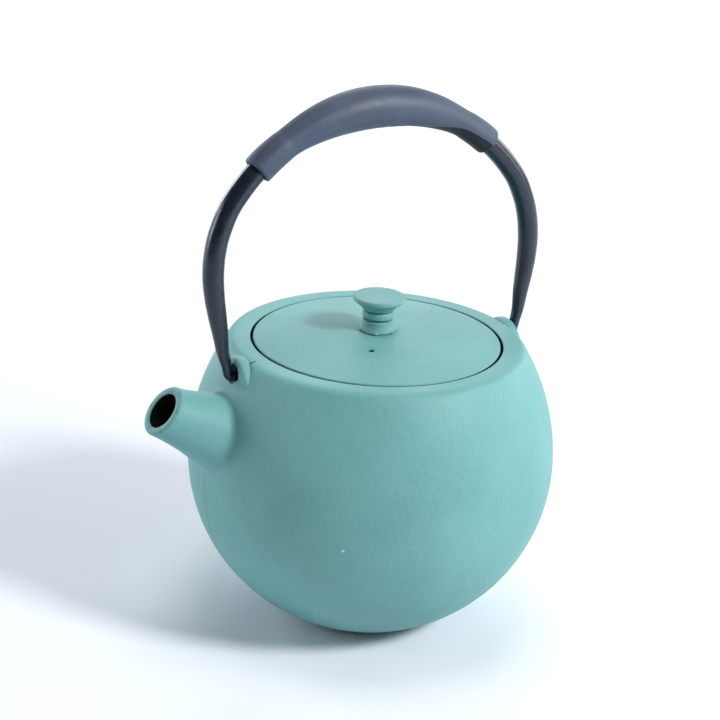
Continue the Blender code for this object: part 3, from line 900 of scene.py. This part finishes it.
def turned_piece(name, corners, material, body, slot, node, count=128, segments=4):
    """A finished piece turned about Z from a profile with rounded corners."""
    path = soft_path(corners, segments)
    closed = corners[0][0] > 1e-6
    if closed:
        path = path[:-1]
    vertices, faces = lathe(path, even_angles(count), closed)
    made = mesh_object(name, vertices, faces, material)
    return finish_piece(made, body, slot, node, sharp=45)


def build_knob_seat():
    """The flared seat, with an uneven foot as cast."""
    bore = PIN_RADIUS + GAP
    seat_base = COLLAR_RADIUS + 0.0012
    seat_corners = [
        (bore, SEAT_TOP_Z - 0.0010),
        (bore, SEAT_TOP_Z, 0.0003),
        (COLLAR_RADIUS, SEAT_TOP_Z, 0.0005),
        (COLLAR_RADIUS - 0.0001, KNOB_SEAT_Z + 0.0022, 0.0012),
        (seat_base - 0.0004, KNOB_SEAT_Z + 0.0006, 0.0006),
        (seat_base, KNOB_SEAT_Z, 0.0003),
        (bore, KNOB_SEAT_Z, 0.0003),
        (bore, SEAT_TOP_Z - 0.0010),
    ]
    path = filled(soft_path(seat_corners, 5)[:-1], 0.0004)
    vertices, faces = lathe(path, even_angles(144), closed=True)
    radius = np.hypot(vertices[:, 0], vertices[:, 1])
    turn = np.arctan2(vertices[:, 1], vertices[:, 0])
    foot = np.clip((radius - COLLAR_RADIUS + 0.0002) / 0.0014, 0, 1)
    low = np.clip(1 - (vertices[:, 2] - KNOB_SEAT_Z) / 0.0022, 0, 1)
    wave = 0.25 * np.cos(3 * turn + 0.9) + 0.3 * np.cos(5 * turn + 2.1) * np.cos(turn - 0.4)
    wave += 0.2 * np.sin(11 * turn + 0.3) + 0.15 * np.sin(17 * turn + 1.3) - 0.25
    scale = 1 + (0.0007 * wave * foot * low) / np.maximum(radius, 1e-6)
    vertices[:, 0] *= scale
    vertices[:, 1] *= scale
    seat = mesh_object("knob_seat_boss", vertices, faces, IRON_LID)
    finish_piece(seat, "lid_group", "green_cast_iron", "knob_seat", sharp=50)


def build_knob():
    """The collar and the cap, which turn together on the pin."""
    bore = PIN_RADIUS + GAP
    collar = [
        (bore, COLLAR_TOP_Z - 0.001),
        (bore, COLLAR_TOP_Z, 0.0002),
        (COLLAR_RADIUS, COLLAR_TOP_Z, 0.0007),
        (COLLAR_RADIUS, COLLAR_BOTTOM_Z, 0.0007),
        (bore, COLLAR_BOTTOM_Z, 0.0002),
        (bore, COLLAR_TOP_Z - 0.001),
    ]
    turned_piece("knob_collar_ring", collar, IRON_LID, "knob", "green_cast_iron", "knob_collar")
    socket_top = CAP_RIM_Z + 0.0004
    cap = [
        (0.0, CAP_TOP_Z),
        (0.004, CAP_TOP_Z, 0.0005),
        (CAP_RADIUS - 0.0002, CAP_TOP_Z, 0.0007),
        (CAP_RADIUS, CAP_TOP_Z - 0.0007, 0.0003),
        (CAP_RADIUS, CAP_RIM_Z + 0.0004, 0.0004),
        (CAP_RADIUS - 0.0007, CAP_RIM_Z, 0.0004),
        (COLLAR_RADIUS + 0.0010, CAP_BOTTOM_Z + 0.0014, 0.0006),
        (COLLAR_RADIUS + 0.0002, CAP_BOTTOM_Z + 0.0008, 0.0003),
        (COLLAR_RADIUS - 0.0001, CAP_BOTTOM_Z, 0.0004),
        (bore, CAP_BOTTOM_Z, 0.0002),
        (bore, socket_top, 0.0002),
        (0.0, socket_top),
    ]
    turned_piece("knob_cap_button", cap, IRON_LID, "knob", "green_cast_iron", "knob_cap", 160, 5)


# ---------------------------------------------------------------- bail
def arch_point(angle):
    """Place on the arch's centre line, in the bail's plane: (x, height over the pivot)."""
    return (ARCH_RADIUS * math.sin(angle), ARCH_TOP - ARCH_RADIUS * (1.0 - math.cos(angle)))


def bend(centre_x, start, end, first_radius, last_radius, count=12):
    """Points (x, height, radius) round one bend of the hook."""
    points = []
    for i in range(count + 1):
        t = i / count
        angle = start + (end - start) * t
        x = centre_x + HOOK_BEND_RADIUS * math.cos(angle)
        z = HOOK_BEND_RADIUS * (1 + math.sin(angle))
        points.append((x, z, first_radius + (last_radius - first_radius) * t))
    return points


def catmull(points, pieces):
    """A smooth curve through points, from the second to the last but one."""
    curve = []
    for a, b, c, d in zip(points, points[1:], points[2:], points[3:]):
        a, b, c, d = (np.array(q) for q in (a, b, c, d))
        for i in range(pieces):
            t = i / pieces
            square = 2 * a - 5 * b + 4 * c - d
            cube = 3 * b - a - 3 * c + d
            curve.append(0.5 * (2 * b + (c - a) * t + square * t * t + cube * t**3))
    return [tuple(p) for p in curve]


def half_rod():
    """Centre line and radius of half the rod, from the hook's tip to the top of the arch."""
    inner = bend(HOOK_INNER_X, math.pi, 1.5 * math.pi, 0.0015, 0.0017)
    outer = bend(HOOK_OUTER_X, -0.5 * math.pi, 0.0, 0.00175, 0.00185)
    foot = [(*arch_point(ARCH_HALF_ANGLE * k), ROD_RADIUS) for k in (1.0, 0.8)]
    leg = catmull([outer[-1]] + LEG + foot, 8)
    arch = [(*arch_point(ARCH_HALF_ANGLE * k / 40), ROD_RADIUS) for k in range(40, -1, -1)]
    x, z, r = HOOK_TIP
    tip = [(x, z + 0.0001, r * 0.5), (x, z, r * 0.85), (x, z - 0.0003, r)]
    return tip + inner + outer + leg[1:] + arch


def mirrored(half):
    """The whole rod from its half."""
    return [(-x, *rest) for x, *rest in half] + [(x, *rest) for x, *rest in reversed(half[:-1])]


def in_bail(x, across, height):
    """World place of a point in the leaning bail, across being square to its plane."""
    lean_sin, lean_cos = math.sin(BAIL_LEAN), math.cos(BAIL_LEAN)
    y = across * lean_cos + height * lean_sin
    return (x, y, PIVOT_Z - across * lean_sin + height * lean_cos)


def swept(rings, joined=False):
    """Skin over rings in the bail's plane, each (x, height, tangent, section of offsets)."""
    vertices = []
    count = len(rings[0][3])
    for x, z, (tx, tz), section in rings:
        for across, out in section:
            vertices.append(in_bail(x - tz * out, across, z + tx * out))
    faces = []
    for k in range(len(rings) if joined else len(rings) - 1):
        a = k * count
        b = (k + 1) % len(rings) * count
        for i in range(count):
            j = (i + 1) % count
            faces.append((a + i, a + j, b + j, b + i))
    if not joined:
        for first in (0, (len(rings) - 1) * count):
            hub = len(vertices)
            vertices.append(tuple(np.mean(vertices[first : first + count], axis=0)))
            faces += [(first + i, first + (i + 1) % count, hub) for i in range(count)]
    return vertices, faces


def circle(radius, count=40):
    """A round section for swept."""
    return [(radius * math.cos(a), radius * math.sin(a)) for a in even_angles(count)]


def build_rod():
    """The forged rod with its two hooks."""
    points = mirrored(half_rod())
    line = np.array([(x, z) for x, z, _ in points])
    tangent = np.gradient(line, axis=0)
    tangent /= np.linalg.norm(tangent, axis=1)[:, None]
    rings = [(x, z, t, circle(r)) for (x, z, r), t in zip(points, tangent)]
    vertices, faces = swept(rings)
    rod = mesh_object("bail_rod_forged", vertices, faces, ROD)
    return finish_piece(rod, "bail", "black_painted_steel", "bail_rod", sharp=60)


def grip_radius(x):
    """Outside radius of the sleeve at a distance along X from its middle."""
    xs = [p[0] for p in GRIP_SIZES]
    rs = [p[1] for p in GRIP_SIZES]
    return float(np.interp(abs(x), xs, rs))


def build_grip():
    """The rubber sleeve: outside with its underside panel in painted shade, rounded cuffs and the
    rod's bore.
    """
    cuff = GRIP_CUFF
    hole = ROD_RADIUS + 0.0003
    reach = GRIP_SIZES[-1][0]
    first = math.asin((GRIP_SHIFT - reach) / ARCH_RADIUS) + cuff / ARCH_RADIUS
    last = math.asin((GRIP_SHIFT + reach) / ARCH_RADIUS) - cuff / ARCH_RADIUS
    stations = np.linspace(first, last, 181)
    sizes = np.array([grip_radius(ARCH_RADIUS * math.sin(a) - GRIP_SHIFT) for a in stations])
    padded = np.concatenate([[sizes[0]] * 2, sizes, [sizes[-1]] * 2])
    sizes = np.convolve(padded, np.ones(5) / 5, mode="valid")
    count = GRIP_SEGMENTS
    ring_angles = even_angles(count)

    def crease(angle):
        return float(np.interp(angle, PANEL_ARCH_ANGLES, PANEL_HALF_WIDTHS))

    def below(a):
        """Angle round the sleeve from the side that faces the arch's centre."""
        return abs(math.atan2(math.cos(a), -math.sin(a)))

    def outer_section(radius, angle):
        section = []
        for a in ring_angles:
            past = below(a) - crease(angle)
            ridge = 0.00022 * math.exp(-((past / 0.035) ** 2))
            step = 0.00045 / (1 + math.exp(past / 0.025))
            r = radius + ridge - step
            section.append((r * math.cos(a), r * math.sin(a)))
        return section

    rings = []

    def ring(angle, extra, section):
        x, z = arch_point(angle)
        tangent = (math.cos(angle), -math.sin(angle))
        rings.append((x + tangent[0] * extra, z + tangent[1] * extra, tangent, section))

    for k in range(8):
        t = math.pi / 2 * k / 7
        ring(first, -cuff * math.cos(t), outer_section(sizes[0] - cuff * (1 - math.sin(t)), first))
    for angle, size in zip(stations[1:-1], sizes[1:-1]):
        ring(angle, 0.0, outer_section(size, angle))
    for k in range(7, -1, -1):
        t = math.pi / 2 * k / 7
        ring(last, cuff * math.cos(t), outer_section(sizes[-1] - cuff * (1 - math.sin(t)), last))
    outer_rows = len(rings) - 1
    ring(last, cuff, circle(hole + 0.0005, count))
    ring(last, cuff - 0.0004, circle(hole, count))
    for angle in np.linspace(last, first, 41)[1:-1]:
        ring(angle, 0.0, circle(hole, count))
    ring(first, -cuff + 0.0004, circle(hole, count))
    ring(first, -cuff, circle(hole + 0.0005, count))
    vertices, faces = swept(rings, joined=True)
    grip = mesh_object("grip_rubber_sleeve", vertices, faces, RUBBER)
    grip.data.materials.append(RUBBER_PAINTED_SHADE)
    # Faces on the underside panel get the rubber in painted shade
    row_angles = [first] * 8 + list(stations[1:-1]) + [last] * 8
    for face in grip.data.polygons:
        row, column = divmod(face.index, count)
        middle = ring_angles[column] + math.pi / count
        on_panel = row < outer_rows and below(middle) < crease(row_angles[row])
        face.material_index = 1 if on_panel else 0
    return finish_piece(grip, "bail", "slate_rubber", "grip_sleeve", sharp=70)


# ---------------------------------------------------------------- carried-over pieces
def refinish(node, material):
    """Gives a CAD node that stays its detailed material."""
    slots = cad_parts[node].data.materials
    slots.clear()
    slots.append(material)


# ---------------------------------------------------------------- stage
CAMERA_PLACE = Vector((-0.3412, -0.5794, 0.3032 + EQUATOR_Z))
CAMERA_TURN = math.radians(-29.973)
CAMERA_HEIGHT_ANGLE = math.radians(21.464)
CAMERA_ROLL = math.radians(-3.103)
CAMERA_LENS = 92.29


def build_camera():
    """The camera, placed and turned by the values above."""
    a, e = CAMERA_TURN, CAMERA_HEIGHT_ANGLE
    right = Vector((math.cos(a), math.sin(a), 0.0))
    back = Vector((math.sin(a) * math.cos(e), -math.cos(a) * math.cos(e), math.sin(e)))
    up = back.cross(right)
    c, s = math.cos(CAMERA_ROLL), math.sin(CAMERA_ROLL)
    rolled_right = c * right - s * up
    rolled_up = s * right + c * up
    data = bpy.data.cameras.new("camera")
    data.lens = CAMERA_LENS
    data.sensor_width = 36.0
    data.clip_start = 0.01
    data.clip_end = 50.0
    camera = bpy.data.objects.new("camera", data)
    turn = Matrix((rolled_right, rolled_up, back)).transposed().to_4x4()
    camera.matrix_world = Matrix.Translation(CAMERA_PLACE) @ turn
    bpy.context.scene.collection.objects.link(camera)
    bpy.context.scene.camera = camera


# Soft lights: name, heading anticlockwise from the camera's right, height angle, distance,
# size, watts that it would need at LIGHT_NEAR, colour
LIGHT_NEAR = 1.5
LIGHT_TARGET = Vector((0.0, 0.0, 0.09))
FAR_FLOOR = Vector((-math.sin(CAMERA_TURN), math.cos(CAMERA_TURN), 0.0)) * 1.9
LIGHTS = [
    ("key_light", 332.0, 36.0, 1.5, 0.34, 21.5, (1.0, 1.0, 1.0)),
    ("right_light", 0.0, 15.0, 1.5, 0.7, 4.6, (1.0, 0.98, 0.98)),
    ("right_back_light", 45.0, 15.0, 3.0, 1.4, 5.2, (1.0, 0.98, 0.96)),
    ("back_light", 90.0, 15.0, 3.0, 1.4, 3.0, (1.0, 1.0, 1.0)),
    ("left_back_light", 135.0, 15.0, 3.0, 1.4, 8.4, (0.90, 0.97, 1.0)),
    ("left_light", 180.0, 15.0, 1.5, 0.7, 7.4, (0.98, 0.98, 1.0)),
    ("top_light", 0.0, 90.0, 1.5, 0.7, 6.4, (0.98, 0.99, 1.0)),
]


def soft_light(name, heading, height, distance, size, power, colour, target=LIGHT_TARGET):
    """A disc light that faces its target."""
    data = bpy.data.lights.new(name, "AREA")
    data.shape = "DISK"
    data.size = size
    data.energy = power * (distance / LIGHT_NEAR) ** 2
    data.color = colour
    light = bpy.data.objects.new(name, data)
    turn = CAMERA_TURN + math.radians(heading)
    rise = math.radians(height)
    level = math.cos(rise)
    away = Vector((math.cos(turn) * level, math.sin(turn) * level, math.sin(rise)))
    light.location = target + away * distance
    light.rotation_mode = "QUATERNION"
    light.rotation_quaternion = (-away).to_track_quat("-Z", "Y")
    light.visible_camera = False
    bpy.context.scene.collection.objects.link(light)


def build_stage():
    """A plain pale floor that brightens far from the pot, the world and the lights."""
    n = Nodes("pale_floor")
    tone = n.ramp(n.noise(3.0, 2.0), 0.3, 0.7)
    floor_colour = n.mix(tone, (0.80, 0.83, 0.90), (0.82, 0.85, 0.91))
    n.finish(floor_colour, 0.7, specular=0.2)
    # Painted light: the floor glows more and more from 0.5 m out to 1.9 m, standing in for light on
    # the far floor
    n.shader.inputs["Emission Color"].default_value = (0.97, 0.98, 1.0, 1.0)
    far = n.ramp(n.vector("LENGTH", n.coords), 0.5, 1.9, 0.0, 0.85)
    n.put(n.shader.inputs["Emission Strength"], far)
    bpy.ops.mesh.primitive_plane_add(size=12.0, location=(0.0, 0.0, 0.0))
    floor = bpy.context.object
    floor.name = "floor"
    floor.data.materials.append(n.material)
    world = bpy.data.worlds.new("studio")
    world.use_nodes = True
    background = world.node_tree.nodes["Background"]
    background.inputs["Color"].default_value = (0.86, 0.93, 1.0, 1.0)
    background.inputs["Strength"].default_value = 0.07
    bpy.context.scene.world = world
    for light in LIGHTS:
        soft_light(*light)
    soft_light("far_floor_light", 0.0, 90.0, 1.5, 1.6, 19.0, (0.98, 0.98, 1.0), FAR_FLOOR)
    bpy.context.scene.view_settings.view_transform = "Standard"


build_pot()
build_lid()
build_knob_seat()
build_knob()
build_rod()
build_grip()
for node_name in ("knob_pin", "knob_washer"):
    refinish(node_name, PIN_STEEL)
for node_name in ("infuser_rim", "infuser_wall", "infuser_base"):
    refinish(node_name, STAINLESS)
build_camera()
build_stage()
